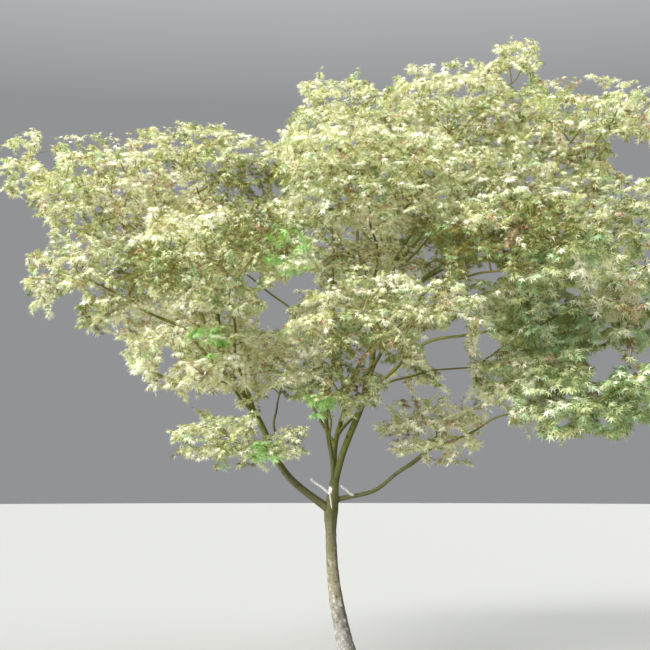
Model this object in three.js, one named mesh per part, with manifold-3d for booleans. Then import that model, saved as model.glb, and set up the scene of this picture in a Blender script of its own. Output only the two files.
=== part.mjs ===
// A variegated Japanese maple, about 5 m tall, cut flat at the ground.
//
// The tree is a leaning trunk, five leaders that fork from its head, side boughs, two bleached
// stubs of dead limbs, and a mass of twigs and leaves at the end of each living limb.
// Millimetres, +Z up. X runs to the right and Y away from a viewer who stands in front of it.
// The origin is the centre of the flat cut.
import * as THREE from "three";
import { mergeVertices } from "three/addons/utils/BufferGeometryUtils.js";
import Module from "manifold-3d";

const wasm = await Module();
wasm.setup();

// Trunk
const HEAD_HEIGHT = 1560; // top of the sawn head, among the leaders
const FORK_HEIGHT = 1290; // where the lowest leader leaves
const LEAN_REACH = 172; // how far the stem has bent to the left when it forks
const LEAN_HEIGHT = 480; // height over which most of that lean is gained
const LEAN_POWER = 1.5; // above 1, the lean begins gently at the ground
const TURN_HEIGHT = 1190; // from here the head turns back
const HEAD_SHIFT = [30, -34]; // to the right and to the front
const FOOT_RADIUS = 74; // at the ground, without the root flare
const STEM_RADIUS = 43; // at the slimmest stretch
const TAPER_HEIGHTS = [-300, 1150]; // the taper is already under way at the ground
const FLARE_RADIUS = 44; // what the root flare adds at the ground
const FLARE_HEIGHT = 130;
const FLARE_RIDGES = 5;
const FLARE_EVEN = 0.7; // the part of the flare that goes all round; the rest is ridges
const FLARE_TURN = 0.8; // turns the ridges, in radians
const SWELL_HEIGHT = 1120; // from here the stem thickens to the fork
const FORK_SWELL = 12;
const HEAD_RADIUS = 34;
const TRUNK_SIDES = 13;
const TRUNK_RINGS = 12;
const RING_POWER = 1.4; // draws the rings together near the ground

// Clearances
const JOINT_GAP = 0.3; // between a limb and what it grows from
const NEAR_LIMB = 1; // a limb closer than this to an earlier one is cut clear of it
const SPACE_GAP = 3; // from a mass's space to the wall between it and a neighbour
const LIMB_GAP = 5; // between a twig or leaf and a limb that passes by
const LEAF_GAP = 2; // between a leaf and other twigs and leaves of its mass

// Limbs
const LEADER_SIDES = 7;
const BOUGH_SIDES = 5;
const LIMB_STEP = 290; // length of a limb's straight stretches
const LIMB_RINGS_LEAST = 3;
const LIMB_TAPER_POWER = 0.8; // below 1, a limb thins faster near its root
const SWAY = 0.022; // sideways wave of a limb, as a share of its length
const SWAY_UPWARD = 0.6; // the wave's height over its width
const SWAY_ACROSS = new THREE.Vector3(0.3, 0.9, 0.3); // the wave is at right angles to this
const WAVES = 1.5;
const LEADER_PHASE_STEP = 0.31; // gives each limb a wave of its own
const BOUGH_PHASE_STEP = 0.23;
const BOUGH_TIP = 7; // least radius at the end of a bough
const BOUGH_TAPER = 0.55; // tip radius over root radius
const BOUGH_STEP = 2; // a bough's root is at least this much slimmer than its parent
const BEND_AT = 0.4; // how far along a bough its bend pulls
const BEND_CARRY = 0.22; // how far the bend lies ahead along the parent, over the length
const BEND_RISE = 0.1; // how far it is lifted, over the length
const ENTRY = 0.72; // how far from the middle of its space a mass meets its limb
const STUB_SAG = 0.08;
const STUB_TAPER = 0.7;

// Masses
const SEED_START = 0.37;
const SEED_STEP = 0.7548776662; // from one mass's seed to the next
const STEM_SHARE = 0.42; // length of a mass's stem, as a share of its half width
const STEM_INSET = 1; // the stem is this much slimmer than its limb's tip
const STEM_TAPER = 0.6;
const STEM_FORKS = [0.35, 0.65, 0.96]; // where twigs may leave the stem
const TWIG_FORKS = [0.3, 0.55, 0.8]; // and where they may leave a twig
const TWIG_SHARES = [0.4, 0.7]; // where twigs end, from the middle of the space to its edge
const TWIG_TAPER = 0.5; // a twig's radius at its root, as a share of what it grows from
const TWIG_TIP = 2.2;
const TURN_COST = 0.55; // how much a twig prefers to carry on ahead
const TWIGS_LEAST = 3;
const TWIGS_PER_AREA = 12.5; // for each square metre of the space's half width by half depth
const TRIES = 48; // places that each length of leaf is tried at
const SPREAD_STEPS = [0.8191725134, 0.6710436067, 0.5497004779]; // fill a space evenly

// Leaves, each as large as the spray of small ones that it stands for
const LEAF_LENGTHS = [500, 440, 390, 340, 300, 260, 220, 180]; // the longest first
const LEAF_THICK = 0.036; // thickness over length
const LEAF_RISE = 0.4; // how much of its twig's rise a leaf keeps
const DROOP = [0.4, 1.2]; // how far a leaf's heading then sinks, as a slope
const DROOP_STEP = 0.618; // from one leaf's droop to the next
const ROLL = 0.55; // most turn about its own length, in radians
const ROLL_STEP = 0.755;
// The rim about the palm, where the lobes part: turn from straight ahead in degrees, and reach
// over length, for the middle tip, notch, side tip, notch, hind tip and stalk
const RIM = [[0, 0.8], [24, 0.38], [50, 0.74], [77, 0.34], [108, 0.5], [180, 0.2]];
const RIM_POINTS = 2 * RIM.length - 2;

// Leaders: name, height of the fork, point that bends the limb, mass at its end, and radii
const LEADERS = [
  ["leader_left", 1290, [-880, -130, 1800], "left_mid_in", [33, 17]],
  ["leader_main", 1400, [130, -30, 2680], "right_top", [29, 14]],
  ["leader_mid", 1330, [-180, -40, 2050], "centre_mid", [22, 12]],
  ["leader_back", 1400, [-60, 620, 2050], "back_mid", [28, 13]],
  ["leader_right", 1370, [320, -60, 1460], "right_low_in", [21, 11]],
];

// Masses: name, centre and half sizes of the space, then the limb that the bough leaves, how
// far along it, and the bough's radius there. A mass at a leader's end has no bough.
const MASSES = [
  ["left_mid_in", [-1120, -480, 3180], [570, 600, 420]],
  ["left_skirt", [-850, -740, 1860], [500, 430, 210], "leader_left", 0.2, 13],
  ["left_low_in", [-590, -280, 2360], [430, 470, 300], "leader_left", 0.3, 13],
  ["left_low_out", [-1200, -580, 2470], [480, 540, 290], "leader_left", 0.46, 15],
  ["left_mid_out", [-1930, -210, 3090], [620, 720, 370], "leader_left", 0.62, 18],
  ["left_upper_out", [-2010, 80, 3860], [570, 760, 420], "leader_left", 0.76, 18],
  ["left_upper_in", [-1270, 260, 4070], [640, 660, 430], "leader_left", 0.86, 16],
  ["left_tip", [-2660, 430, 4170], [300, 380, 320], "left_upper_out", 0.3, 9],
  ["front_left", [-940, -1380, 3100], [640, 570, 380], "leader_left", 0.54, 15],
  ["centre_low", [-180, -620, 2250], [420, 400, 220], "leader_mid", 0.22, 11],
  ["centre_mid", [-150, -250, 3450], [570, 610, 390]],
  ["crown_centre", [-100, 110, 4330], [620, 820, 460], "leader_main", 0.4, 18],
  ["front_tier", [250, -1340, 2690], [770, 570, 320], "leader_main", 0.22, 18],
  ["front_high", [100, -1140, 3770], [690, 620, 400], "leader_main", 0.47, 14],
  ["right_top", [840, 160, 4440], [750, 830, 450]],
  ["top_spray", [1370, 100, 4900], [330, 360, 250], "leader_main", 0.88, 10],
  ["right_upper_out", [1880, 20, 4370], [630, 730, 380], "leader_main", 0.66, 16],
  ["right_upper_mid", [950, -520, 3730], [650, 650, 410], "leader_main", 0.56, 13],
  ["right_mid_out", [1920, -100, 3600], [570, 740, 430], "leader_main", 0.5, 16],
  ["front_right", [1140, -1340, 3210], [640, 560, 370], "leader_main", 0.36, 15],
  ["right_mid_low", [1640, -600, 2850], [720, 640, 420], "leader_main", 0.29, 16],
  ["right_low_in", [720, -300, 1940], [520, 430, 260]],
  ["right_low_out", [1620, -900, 2170], [640, 560, 320], "leader_right", 0.7, 12],
  ["back_low_left", [-1250, 900, 2750], [720, 690, 410], "leader_back", 0.3, 15],
  ["back_low_right", [1090, 960, 2700], [790, 690, 430], "leader_back", 0.36, 15],
  ["back_mid", [-80, 1400, 3130], [760, 720, 460]],
  ["back_high_left", [-1150, 1050, 3640], [760, 710, 450], "leader_back", 0.52, 14],
  ["back_high_right", [980, 1010, 3680], [840, 730, 460], "leader_back", 0.6, 15],
];

// Dead stubs: name, limb, how far along it, heading, length from the limb's middle, and radius
const STUBS = [
  ["dead_stub_left", "trunk", 0.91, [-0.8, -0.2, 0.56], 225, 13],
  ["dead_stub_right", "leader_right", 0.2, [-0.72, -0.4, 0.56], 150, 11],
];

const WOOD = new THREE.MeshStandardMaterial({ color: 0x8a8a5c, roughness: 0.85, metalness: 0 });
const BLEACHED = new THREE.MeshStandardMaterial({ color: 0xd9d6cf, roughness: 0.8, metalness: 0 });
const FOLIAGE = new THREE.MeshStandardMaterial({ color: 0xc9cf94, roughness: 0.6, metalness: 0 });

const UP = new THREE.Vector3(0, 0, 1);
const vector = (numbers) => new THREE.Vector3(...numbers);
const fraction = (x) => x - Math.floor(x);
const { lerp, smoothstep, degToRad } = THREE.MathUtils;

// A closed three.js geometry as a solid for cutting and joining.
function solidOf(geometry) {
  const bare = new THREE.BufferGeometry();
  bare.setAttribute("position", geometry.getAttribute("position"));
  bare.setIndex(geometry.index);
  const merged = mergeVertices(bare, 1e-4);
  return new wasm.Manifold(
    new wasm.Mesh({
      numProp: 3,
      vertProperties: new Float32Array(merged.attributes.position.array),
      triVerts: new Uint32Array(merged.index.array),
    }),
  );
}

// A solid's faces as a named three.js mesh.
function meshOf(name, solid, material) {
  const made = solid.getMesh();
  const corners = new THREE.BufferAttribute(new Float32Array(made.vertProperties), 3);
  const geometry = new THREE.BufferGeometry();
  geometry.setAttribute("position", corners);
  geometry.setIndex(new THREE.BufferAttribute(new Uint32Array(made.triVerts), 1));
  geometry.computeVertexNormals();
  const mesh = new THREE.Mesh(geometry, material);
  mesh.name = name;
  return mesh;
}

function largestPart(solid) {
  return solid.decompose().sort((a, b) => b.volume() - a.volume())[0];
}

// A solid with its box, which tells at once when two of them are far apart.
function pieceOf(solid) {
  const { min, max } = solid.boundingBox();
  return { solid, box: new THREE.Box3(vector(min), vector(max)) };
}

function clearOf(others, piece, gap) {
  const near = piece.box.clone().expandByScalar(gap);
  return others.every(
    ({ solid, box }) => !box.intersectsBox(near) || solid.minGap(piece.solid, gap) >= gap,
  );
}

// A closed cylinder whose points are moved to place(share along it, angle, 1 on the side and 0
// at a cap's middle).
function shapedCylinder(sides, rings, place) {
  const geometry = new THREE.CylinderGeometry(1, 1, 1, sides, rings);
  const points = geometry.attributes.position;
  const moved = [];
  for (let i = 0; i < points.count; i++) {
    const [x, y, z] = [points.getX(i), points.getY(i), points.getZ(i)];
    moved.push(...place(y + 0.5, Math.atan2(x, z), Math.hypot(x, z)));
  }
  geometry.setAttribute("position", new THREE.Float32BufferAttribute(moved, 3));
  return geometry;
}

// The trunk bends left as it rises, and its head turns back. Its rings stay level.
class Trunk extends THREE.Curve {
  getPoint(share) {
    const height = share * HEAD_HEIGHT;
    const lean = -LEAN_REACH * (1 - Math.exp(-Math.pow(height / LEAN_HEIGHT, LEAN_POWER)));
    const turn = smoothstep(height, TURN_HEIGHT, HEAD_HEIGHT);
    return new THREE.Vector3(lean + HEAD_SHIFT[0] * turn, HEAD_SHIFT[1] * turn, height);
  }

  // Taper from the foot, root flare in ridges, a swelling at the fork, then the slimmer head
  radiusAt(share, angle) {
    const height = share * HEAD_HEIGHT;
    const taper = lerp(FOOT_RADIUS, STEM_RADIUS, smoothstep(height, ...TAPER_HEIGHTS));
    const ridges = lerp(Math.cos(FLARE_RIDGES * angle + FLARE_TURN), 1, FLARE_EVEN);
    const flare = FLARE_RADIUS * ridges * Math.exp(-height / FLARE_HEIGHT);
    const swell = FORK_SWELL * smoothstep(height, SWELL_HEIGHT, FORK_HEIGHT);
    const slim = STEM_RADIUS + FORK_SWELL - HEAD_RADIUS;
    return taper + flare + swell - slim * smoothstep(height, FORK_HEIGHT, HEAD_HEIGHT);
  }

  solid(extra = 0) {
    const place = (step, angle, side) => {
      const share = Math.pow(step, RING_POWER);
      const out = side * (this.radiusAt(share, angle) + extra);
      const lift = step > 0.99 ? extra : 0;
      const aside = new THREE.Vector3(out * Math.sin(angle), -out * Math.cos(angle), lift);
      return this.getPoint(share).add(aside);
    };
    return solidOf(shapedCylinder(TRUNK_SIDES, TRUNK_RINGS, place));
  }
}

// A limb curves from its root to its tip round a bend, with a slow sideways wave.
class Limb extends THREE.Curve {
  constructor(root, bend, tip, radii, sides, phase) {
    super();
    this.arc = new THREE.QuadraticBezierCurve3(root, bend, tip);
    this.span = this.arc.getLength();
    this.rings = Math.max(LIMB_RINGS_LEAST, Math.round(this.span / LIMB_STEP));
    this.radii = radii;
    this.sides = sides;
    this.phase = phase;
    const along = tip.clone().sub(root).normalize();
    this.side = new THREE.Vector3().crossVectors(along, SWAY_ACROSS).normalize();
    this.top = new THREE.Vector3().crossVectors(this.side, along);
  }

  getPoint(share) {
    const reach = SWAY * this.span * Math.sin(Math.PI * share);
    const turn = 2 * Math.PI * (WAVES * share + this.phase);
    return this.arc
      .getPoint(share)
      .addScaledVector(this.side, reach * Math.sin(turn))
      .addScaledVector(this.top, SWAY_UPWARD * reach * Math.cos(turn));
  }

  radiusAt(share) {
    return lerp(...this.radii, Math.pow(share, LIMB_TAPER_POWER));
  }

  solid(extra = 0) {
    const frames = this.computeFrenetFrames(this.rings, false);
    const place = (share, angle, side) => {
      const ring = Math.round(share * this.rings);
      const out = side * (this.radiusAt(share) + extra);
      return this.getPointAt(share)
        .addScaledVector(frames.normals[ring], out * Math.cos(angle))
        .addScaledVector(frames.binormals[ring], out * Math.sin(angle));
    };
    return solidOf(shapedCylinder(this.sides, this.rings, place));
  }
}

// Each limb is cut clear of the limbs before it, and so starts at their surface.
class Wood {
  constructor() {
    this.limbs = new Map();
    this.meshes = [];
  }

  grow(name, limb, material = WOOD) {
    let solid = limb.solid();
    for (const other of this.limbs.values()) {
      if (solid.minGap(other.solid, NEAR_LIMB) < NEAR_LIMB) solid = solid.subtract(other.grown);
    }
    solid = largestPart(solid);
    this.limbs.set(name, { limb, solid, grown: limb.solid(JOINT_GAP) });
    this.meshes.push(meshOf(name, solid, material));
  }

  pointOn(name, share) {
    const { limb } = this.limbs.get(name);
    return limb instanceof Trunk ? limb.getPoint(share) : limb.getPointAt(share);
  }
}

// Where a limb meets the space of the mass that it carries, on the side it comes from.
function entryOf(mass, from) {
  const inward = mass.centre.clone().sub(from).normalize();
  const reach = 1 / inward.clone().divide(mass.half).length();
  return mass.centre.clone().addScaledVector(inward, -ENTRY * reach);
}

function growLeaders(wood, masses) {
  LEADERS.forEach(([name, height, bendAt, to, radii], index) => {
    const mass = masses.find((one) => one.name === to);
    const root = wood.pointOn("trunk", height / HEAD_HEIGHT);
    const bend = vector(bendAt);
    const phase = LEADER_PHASE_STEP * index;
    mass.limb = new Limb(root, bend, entryOf(mass, bend), radii, LEADER_SIDES, phase);
    wood.grow(name, mass.limb);
  });
}

// A side bough carries on with its parent for a while, then arches over to its mass.
function boughBend(root, tip, parentAlong) {
  const way = tip.clone().sub(root);
  const length = way.length();
  const bend = root.clone().addScaledVector(way, BEND_AT);
  bend.addScaledVector(parentAlong, BEND_CARRY * length);
  return bend.addScaledVector(UP, BEND_RISE * length);
}

function growBoughs(wood, masses) {
  masses.forEach((mass, index) => {
    if (!mass.from) return;
    const parentName = mass.from.startsWith("leader") ? mass.from : "bough_" + mass.from;
    const parent = wood.limbs.get(parentName).limb;
    const root = parent.getPointAt(mass.share);
    const tip = entryOf(mass, root);
    const bend = boughBend(root, tip, parent.getTangentAt(mass.share));
    const thick = Math.min(mass.radius, parent.radiusAt(mass.share) - BOUGH_STEP);
    const radii = [thick, Math.max(BOUGH_TIP, BOUGH_TAPER * thick)];
    mass.limb = new Limb(root, bend, tip, radii, BOUGH_SIDES, BOUGH_PHASE_STEP * index);
    wood.grow("bough_" + mass.name, mass.limb);
  });
}

function growStubs(wood) {
  for (const [name, from, share, heading, length, radius] of STUBS) {
    const root = wood.pointOn(from, share);
    const tip = root.clone().addScaledVector(vector(heading).normalize(), length);
    const bend = root.clone().lerp(tip, 0.5).addScaledVector(UP, -STUB_SAG * length);
    const stub = new Limb(root, bend, tip, [radius, STUB_TAPER * radius], LEADER_SIDES, 0);
    wood.grow(name, stub, BLEACHED);
  }
}

// The walls between a mass's space and its neighbours', each where their edges would meet.
function wallsOf(mass, masses) {
  const walls = [];
  for (const other of masses.filter((one) => one !== mass)) {
    const away = other.centre.clone().sub(mass.centre);
    const apart = away.length();
    away.divideScalar(apart);
    const mine = away.clone().multiply(mass.half).length();
    const theirs = away.clone().multiply(other.half).length();
    if (mine + theirs < apart) continue;
    const most = away.dot(mass.centre) + (apart * mine) / (mine + theirs) - SPACE_GAP;
    walls.push({ away, most });
  }
  return walls;
}

// A mass's space is an ellipsoid within its walls.
function inside(mass, point) {
  const out = point.clone().sub(mass.centre).divide(mass.half).length();
  return out <= 1 && mass.walls.every((wall) => wall.away.dot(point) <= wall.most);
}

function readMasses() {
  const masses = MASSES.map(([name, at, half, from, share, radius], index) => ({
    name,
    centre: vector(at),
    half: vector(half),
    from,
    share,
    radius,
    seed: fraction(SEED_START + SEED_STEP * index),
  }));
  for (const mass of masses) mass.walls = wallsOf(mass, masses);
  return masses;
}

// Where a mass's n-th twig is to end. Any number of twigs fills the space evenly.
function twigEnd(mass, n) {
  const [turn, rise, depth] = SPREAD_STEPS.map((step, k) =>
    fraction(mass.seed * (k + 1) + (n + 1) * step),
  );
  const level = 1 - 2 * rise;
  const flat = Math.sqrt(1 - level * level);
  const angle = 2 * Math.PI * turn;
  return new THREE.Vector3(flat * Math.cos(angle), flat * Math.sin(angle), level)
    .multiplyScalar(lerp(...TWIG_SHARES, Math.sqrt(depth)))
    .multiply(mass.half)
    .add(mass.centre);
}

// The place on the wood so far that a new twig leaves: near its end, and not behind it.
function forkFor(forks, end) {
  const costOf = (fork) => {
    const way = end.clone().sub(fork.at);
    const length = way.length();
    return length * (1 + TURN_COST * (1 - way.dot(fork.along) / length));
  };
  return forks.reduce((best, fork) => (costOf(fork) < costOf(best) ? fork : best));
}

function forksOn(from, to, radii, shares) {
  const along = to.clone().sub(from).normalize();
  return shares.map((share) => ({
    at: from.clone().lerp(to, share),
    along,
    radius: lerp(...radii, share),
  }));
}

// A three-sided tapering twig between two points.
function twigSolid(from, to, radii) {
  const way = to.clone().sub(from);
  const length = way.length();
  const geometry = new THREE.CylinderGeometry(radii[1], radii[0], length, 3, 1);
  geometry.translate(0, length / 2, 0);
  const turn = new THREE.Quaternion().setFromUnitVectors(
    new THREE.Vector3(0, 1, 0),
    way.normalize(),
  );
  geometry.applyQuaternion(turn);
  geometry.translate(...from);
  return solidOf(geometry);
}

// A lobed leaf: a flattened sphere of one rim and two poles, whose rim is drawn out to the tips
// and the stalk. It points along, lies flat across the normal, and spreads from its palm.
function leafGeometry(palm, along, normal, length) {
  const wide = new THREE.Vector3().crossVectors(along, normal);
  const geometry = new THREE.SphereGeometry(1, RIM_POINTS, 2);
  const points = geometry.attributes.position;
  for (let i = 0; i < points.count; i++) {
    const [x, y, z] = [points.getX(i), points.getY(i), points.getZ(i)];
    const spot = Math.round((Math.atan2(z, x) * RIM_POINTS) / (2 * Math.PI));
    const pole = Math.abs(y) > 0.5 ? Math.sign(y) : 0;
    const [turn, reach] = RIM[Math.abs(spot)];
    const angle = degToRad(turn) * Math.sign(spot);
    const out = pole ? 0 : reach * length;
    const place = palm
      .clone()
      .addScaledVector(along, out * Math.cos(angle))
      .addScaledVector(wide, out * Math.sin(angle))
      .addScaledVector(normal, 0.5 * pole * LEAF_THICK * length);
    points.setXYZ(i, ...place);
  }
  return geometry;
}

// Which way the leaf at a twig's end lies: it leans outwards, droops and rolls a little.
function leafFrame(mass, end, along, n) {
  const heading = end.clone().sub(mass.centre).normalize().add(along);
  heading.z *= LEAF_RISE;
  heading.normalize();
  heading.z -= lerp(...DROOP, fraction(mass.seed + DROOP_STEP * n));
  heading.normalize();
  const roll = ROLL * (2 * fraction(mass.seed + ROLL_STEP * n) - 1);
  const across = new THREE.Vector3().crossVectors(UP, heading).normalize();
  across.applyAxisAngle(heading, roll);
  return { heading, normal: new THREE.Vector3().crossVectors(heading, across) };
}

function cornersOf(geometry) {
  const points = geometry.attributes.position;
  const corner = (_, i) => new THREE.Vector3().fromBufferAttribute(points, i);
  return Array.from({ length: points.count }, corner);
}

// A twig from the wood so far to its place, with a leaf at its end, or nothing where the leaf
// would leave the space.
function shootAt(mass, forks, place, length) {
  const end = twigEnd(mass, place);
  if (!inside(mass, end)) return null;
  const fork = forkFor(forks, end);
  const along = end.clone().sub(fork.at).normalize();
  const { heading, normal } = leafFrame(mass, end, along, place);
  const geometry = leafGeometry(end, heading, normal, length);
  if (!cornersOf(geometry).every((corner) => inside(mass, corner))) return null;
  const radii = [Math.max(TWIG_TIP, TWIG_TAPER * fork.radius), TWIG_TIP];
  return {
    twig: pieceOf(twigSolid(fork.at, end, radii)),
    leaf: pieceOf(solidOf(geometry)),
    forks: forksOn(fork.at, end, radii, TWIG_FORKS),
  };
}

// One mass: a stem that carries on from its limb, twigs that fork by the rule, and their leaves.
// The longest leaves find their places first. A shoot that would touch a limb, or whose leaf
// would touch another shoot of the mass, is skipped.
function massSolid(mass, limbs) {
  const along = mass.limb.getTangentAt(1);
  const root = mass.limb.getPointAt(1).addScaledVector(along, JOINT_GAP);
  const stemEnd = root.clone().addScaledVector(along, STEM_SHARE * mass.half.x);
  const thick = mass.limb.radiusAt(1) - STEM_INSET;
  const radii = [thick, STEM_TAPER * thick];
  const twigs = [pieceOf(twigSolid(root, stemEnd, radii))];
  const leaves = [];
  const forks = forksOn(root, stemEnd, radii, STEM_FORKS);
  const area = mass.half.x * mass.half.y * 1e-6;
  const wanted = Math.round(TWIGS_LEAST + TWIGS_PER_AREA * area);
  for (let n = 0; leaves.length < wanted && n < TRIES * LEAF_LENGTHS.length; n++) {
    const shoot = shootAt(mass, forks, n % TRIES, LEAF_LENGTHS[Math.floor(n / TRIES)]);
    if (!shoot || !clearOf([...twigs, ...leaves], shoot.leaf, LEAF_GAP)) continue;
    if (!clearOf(leaves, shoot.twig, LEAF_GAP)) continue;
    if (!clearOf(limbs, shoot.leaf, LIMB_GAP) || !clearOf(limbs, shoot.twig, LIMB_GAP)) continue;
    twigs.push(shoot.twig);
    leaves.push(shoot.leaf);
    forks.push(...shoot.forks);
  }
  return largestPart(wasm.Manifold.union([...twigs, ...leaves].map((piece) => piece.solid)));
}

const wood = new Wood();
const masses = readMasses();
wood.grow("trunk", new Trunk());
growLeaders(wood, masses);
growBoughs(wood, masses);
growStubs(wood);

const tree = new THREE.Group();
tree.add(...wood.meshes);
const limbs = [...wood.limbs.values()].map(({ solid }) => pieceOf(solid));
for (const mass of masses) {
  tree.add(meshOf("foliage_" + mass.name, massSolid(mass, limbs), FOLIAGE));
}

export default tree;
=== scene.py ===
# %% [markdown]
# A variegated Japanese maple, dressed around its CAD frame
#
# The frame holds a trunk, five leaders, side boughs, two dead stubs, and a coarse mass of large
# leaves at the end of each living limb. This lesson covers the wood with bark and grows small
# shoots and leaves in place of the masses. Everything is in metres: X to the right, Y away from
# the camera, Z up, with the origin at the flat cut under the trunk.

# %% Load the frame
import math

import bmesh
import bpy
import numpy as np
from mathutils import Matrix, Vector, noise


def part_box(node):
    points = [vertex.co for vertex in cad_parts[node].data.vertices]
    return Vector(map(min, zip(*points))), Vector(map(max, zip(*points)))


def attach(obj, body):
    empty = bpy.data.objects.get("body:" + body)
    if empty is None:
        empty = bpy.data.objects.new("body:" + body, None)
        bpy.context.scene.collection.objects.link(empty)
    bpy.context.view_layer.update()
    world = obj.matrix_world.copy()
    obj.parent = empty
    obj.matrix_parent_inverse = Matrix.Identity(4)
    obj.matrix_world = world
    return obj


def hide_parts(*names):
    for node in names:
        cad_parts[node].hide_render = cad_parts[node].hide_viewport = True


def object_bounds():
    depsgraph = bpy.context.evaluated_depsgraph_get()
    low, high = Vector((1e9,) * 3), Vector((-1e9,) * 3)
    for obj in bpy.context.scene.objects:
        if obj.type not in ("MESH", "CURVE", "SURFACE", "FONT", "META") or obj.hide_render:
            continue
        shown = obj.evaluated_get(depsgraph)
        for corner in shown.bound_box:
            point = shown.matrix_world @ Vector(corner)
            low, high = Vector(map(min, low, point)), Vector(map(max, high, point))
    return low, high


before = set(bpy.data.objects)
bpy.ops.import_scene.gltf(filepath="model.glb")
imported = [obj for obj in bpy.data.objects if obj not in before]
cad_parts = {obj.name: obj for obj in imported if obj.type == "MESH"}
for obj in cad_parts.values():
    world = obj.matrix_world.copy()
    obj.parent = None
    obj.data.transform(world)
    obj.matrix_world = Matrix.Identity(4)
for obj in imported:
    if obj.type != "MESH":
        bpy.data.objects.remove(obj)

cad_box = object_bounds()
print("CAD box", [tuple(round(x, 3) for x in corner) for corner in cad_box])

# %% [markdown]
# The camera
#
# The photo was taken at eye level from about eleven metres, tilted up a little, with a short
# telephoto lens. The foot of the trunk lies just below the picture.

# %% Camera
CAMERA_AT = Vector((-0.216, -11.0, 1.6))
CAMERA_TILT = math.radians(6.1)
CAMERA_LENS = 76.0


def placed(name, data):
    """A new object in the scene."""
    thing = bpy.data.objects.new(name, data)
    bpy.context.scene.collection.objects.link(thing)
    return thing


camera = placed("camera", bpy.data.cameras.new("camera"))
camera.location = CAMERA_AT
camera.rotation_euler = (math.pi / 2 + CAMERA_TILT, 0, 0)
camera.data.lens = CAMERA_LENS
bpy.context.scene.camera = camera
print("camera at", tuple(CAMERA_AT), "lens", CAMERA_LENS)

# %% [markdown]
# Small helpers for materials
#
# Colours are written as the hex values of a paint program. Blender works with linear light, so
# one function turns them. Another adds a node with its settings and links in one call: a node
# or a socket given as a value is linked, and anything else is set.


# %% Colour and node helpers
def linear(hex_colour):
    """An sRGB hex colour as linear RGBA."""
    parts = [int(hex_colour[i : i + 2], 16) / 255 for i in (1, 3, 5)]
    return (*[p / 12.92 if p <= 0.04045 else ((p + 0.055) / 1.055) ** 2.4 for p in parts], 1.0)


def add_node(tree, kind, inputs=None, **settings):
    """A new node with its own settings, and its inputs set or linked."""
    node = tree.nodes.new("ShaderNode" + kind)
    for name, value in settings.items():
        setattr(node, name, value)
    for name, value in (inputs or {}).items():
        if isinstance(value, bpy.types.Node):
            value = value.outputs[0]
        if isinstance(value, bpy.types.NodeSocket):
            tree.links.new(value, node.inputs[name])
        else:
            node.inputs[name].default_value = value
    return node


def new_material(name):
    """A material and its node tree, still empty."""
    material = bpy.data.materials.new(name)
    material.use_nodes = True
    material.node_tree.nodes.clear()
    return material, material.node_tree


# %% [markdown]
# Light
#
# The Standard view is chosen, because the film-like one washes pale leaves out to white. The
# world stands in for a hazy sky, bright overhead and grey at the horizon, so leaves are pale
# above and darker underneath. Sun lamps with wide discs are as soft as large studio lamps, and
# light the whole crown evenly. A low one on the left reaches the stems under the crown.

# %% Light
SKY_COLOUR = (0.95, 0.97, 1.0, 1.0)
SKY_STRENGTHS = (0.3, 2.0)  # at the horizon and overhead
SKY_RISE = 0.26  # sine of the height up to which the sky stays grey
LAMPS = {  # where the light comes from, width of the lamp's disc in degrees, and strength
    "key lamp": ((-0.64, -0.77, 0.64), 24, 4.7),
    "side lamp": ((-0.92, -0.3, 0.26), 26, 2.5),
    "back lamp": ((0.5, 0.8, 0.9), 40, 1.4),
}


def add_sky():
    world = bpy.data.worlds.new("studio sky")
    world.use_nodes = True
    tree = world.node_tree
    way = add_node(tree, "TexCoord").outputs["Generated"]
    height = add_node(tree, "SeparateXYZ", {"Vector": way}).outputs["Z"]
    low, high = SKY_STRENGTHS
    limits = {"Value": height, "From Min": SKY_RISE, "To Min": low, "To Max": high}
    background = tree.nodes["Background"]
    background.inputs["Color"].default_value = SKY_COLOUR
    tree.links.new(add_node(tree, "MapRange", limits).outputs["Result"], background.inputs["Strength"])
    bpy.context.scene.world = world


bpy.context.scene.view_settings.view_transform = "Standard"
add_sky()
for name, (toward, disc, strength) in LAMPS.items():
    lamp = placed(name, bpy.data.lights.new(name, "SUN"))
    lamp.data.angle = math.radians(disc)
    lamp.data.energy = strength
    lamp.rotation_euler = Vector(toward).to_track_quat("Z", "Y").to_euler()
print(len(LAMPS), "lamps")

# %% [markdown]
# Floor
#
# The floor is pale matt paper, and isn't part of the tree.

# %% Floor
FLOOR_RADIUS = 60.0
FLOOR_SIDES = 96
FLOOR_COLOUR = "#949490"


def mesh_of(name, bm):
    """Turns a finished bmesh into a mesh."""
    mesh = bpy.data.meshes.new(name)
    bm.to_mesh(mesh)
    bm.free()
    return mesh


def add_floor():
    bm = bmesh.new()
    bmesh.ops.create_circle(bm, cap_ends=True, radius=FLOOR_RADIUS, segments=FLOOR_SIDES)
    floor = placed("floor", mesh_of("floor", bm))
    material, tree = new_material("pale paper floor")
    paper = {"Base Color": linear(FLOOR_COLOUR), "Roughness": 0.9}
    add_node(tree, "OutputMaterial", {"Surface": add_node(tree, "BsdfPrincipled", paper)})
    floor.data.materials.append(material)
    print("floor", 2 * FLOOR_RADIUS, "m wide")


add_floor()
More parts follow.
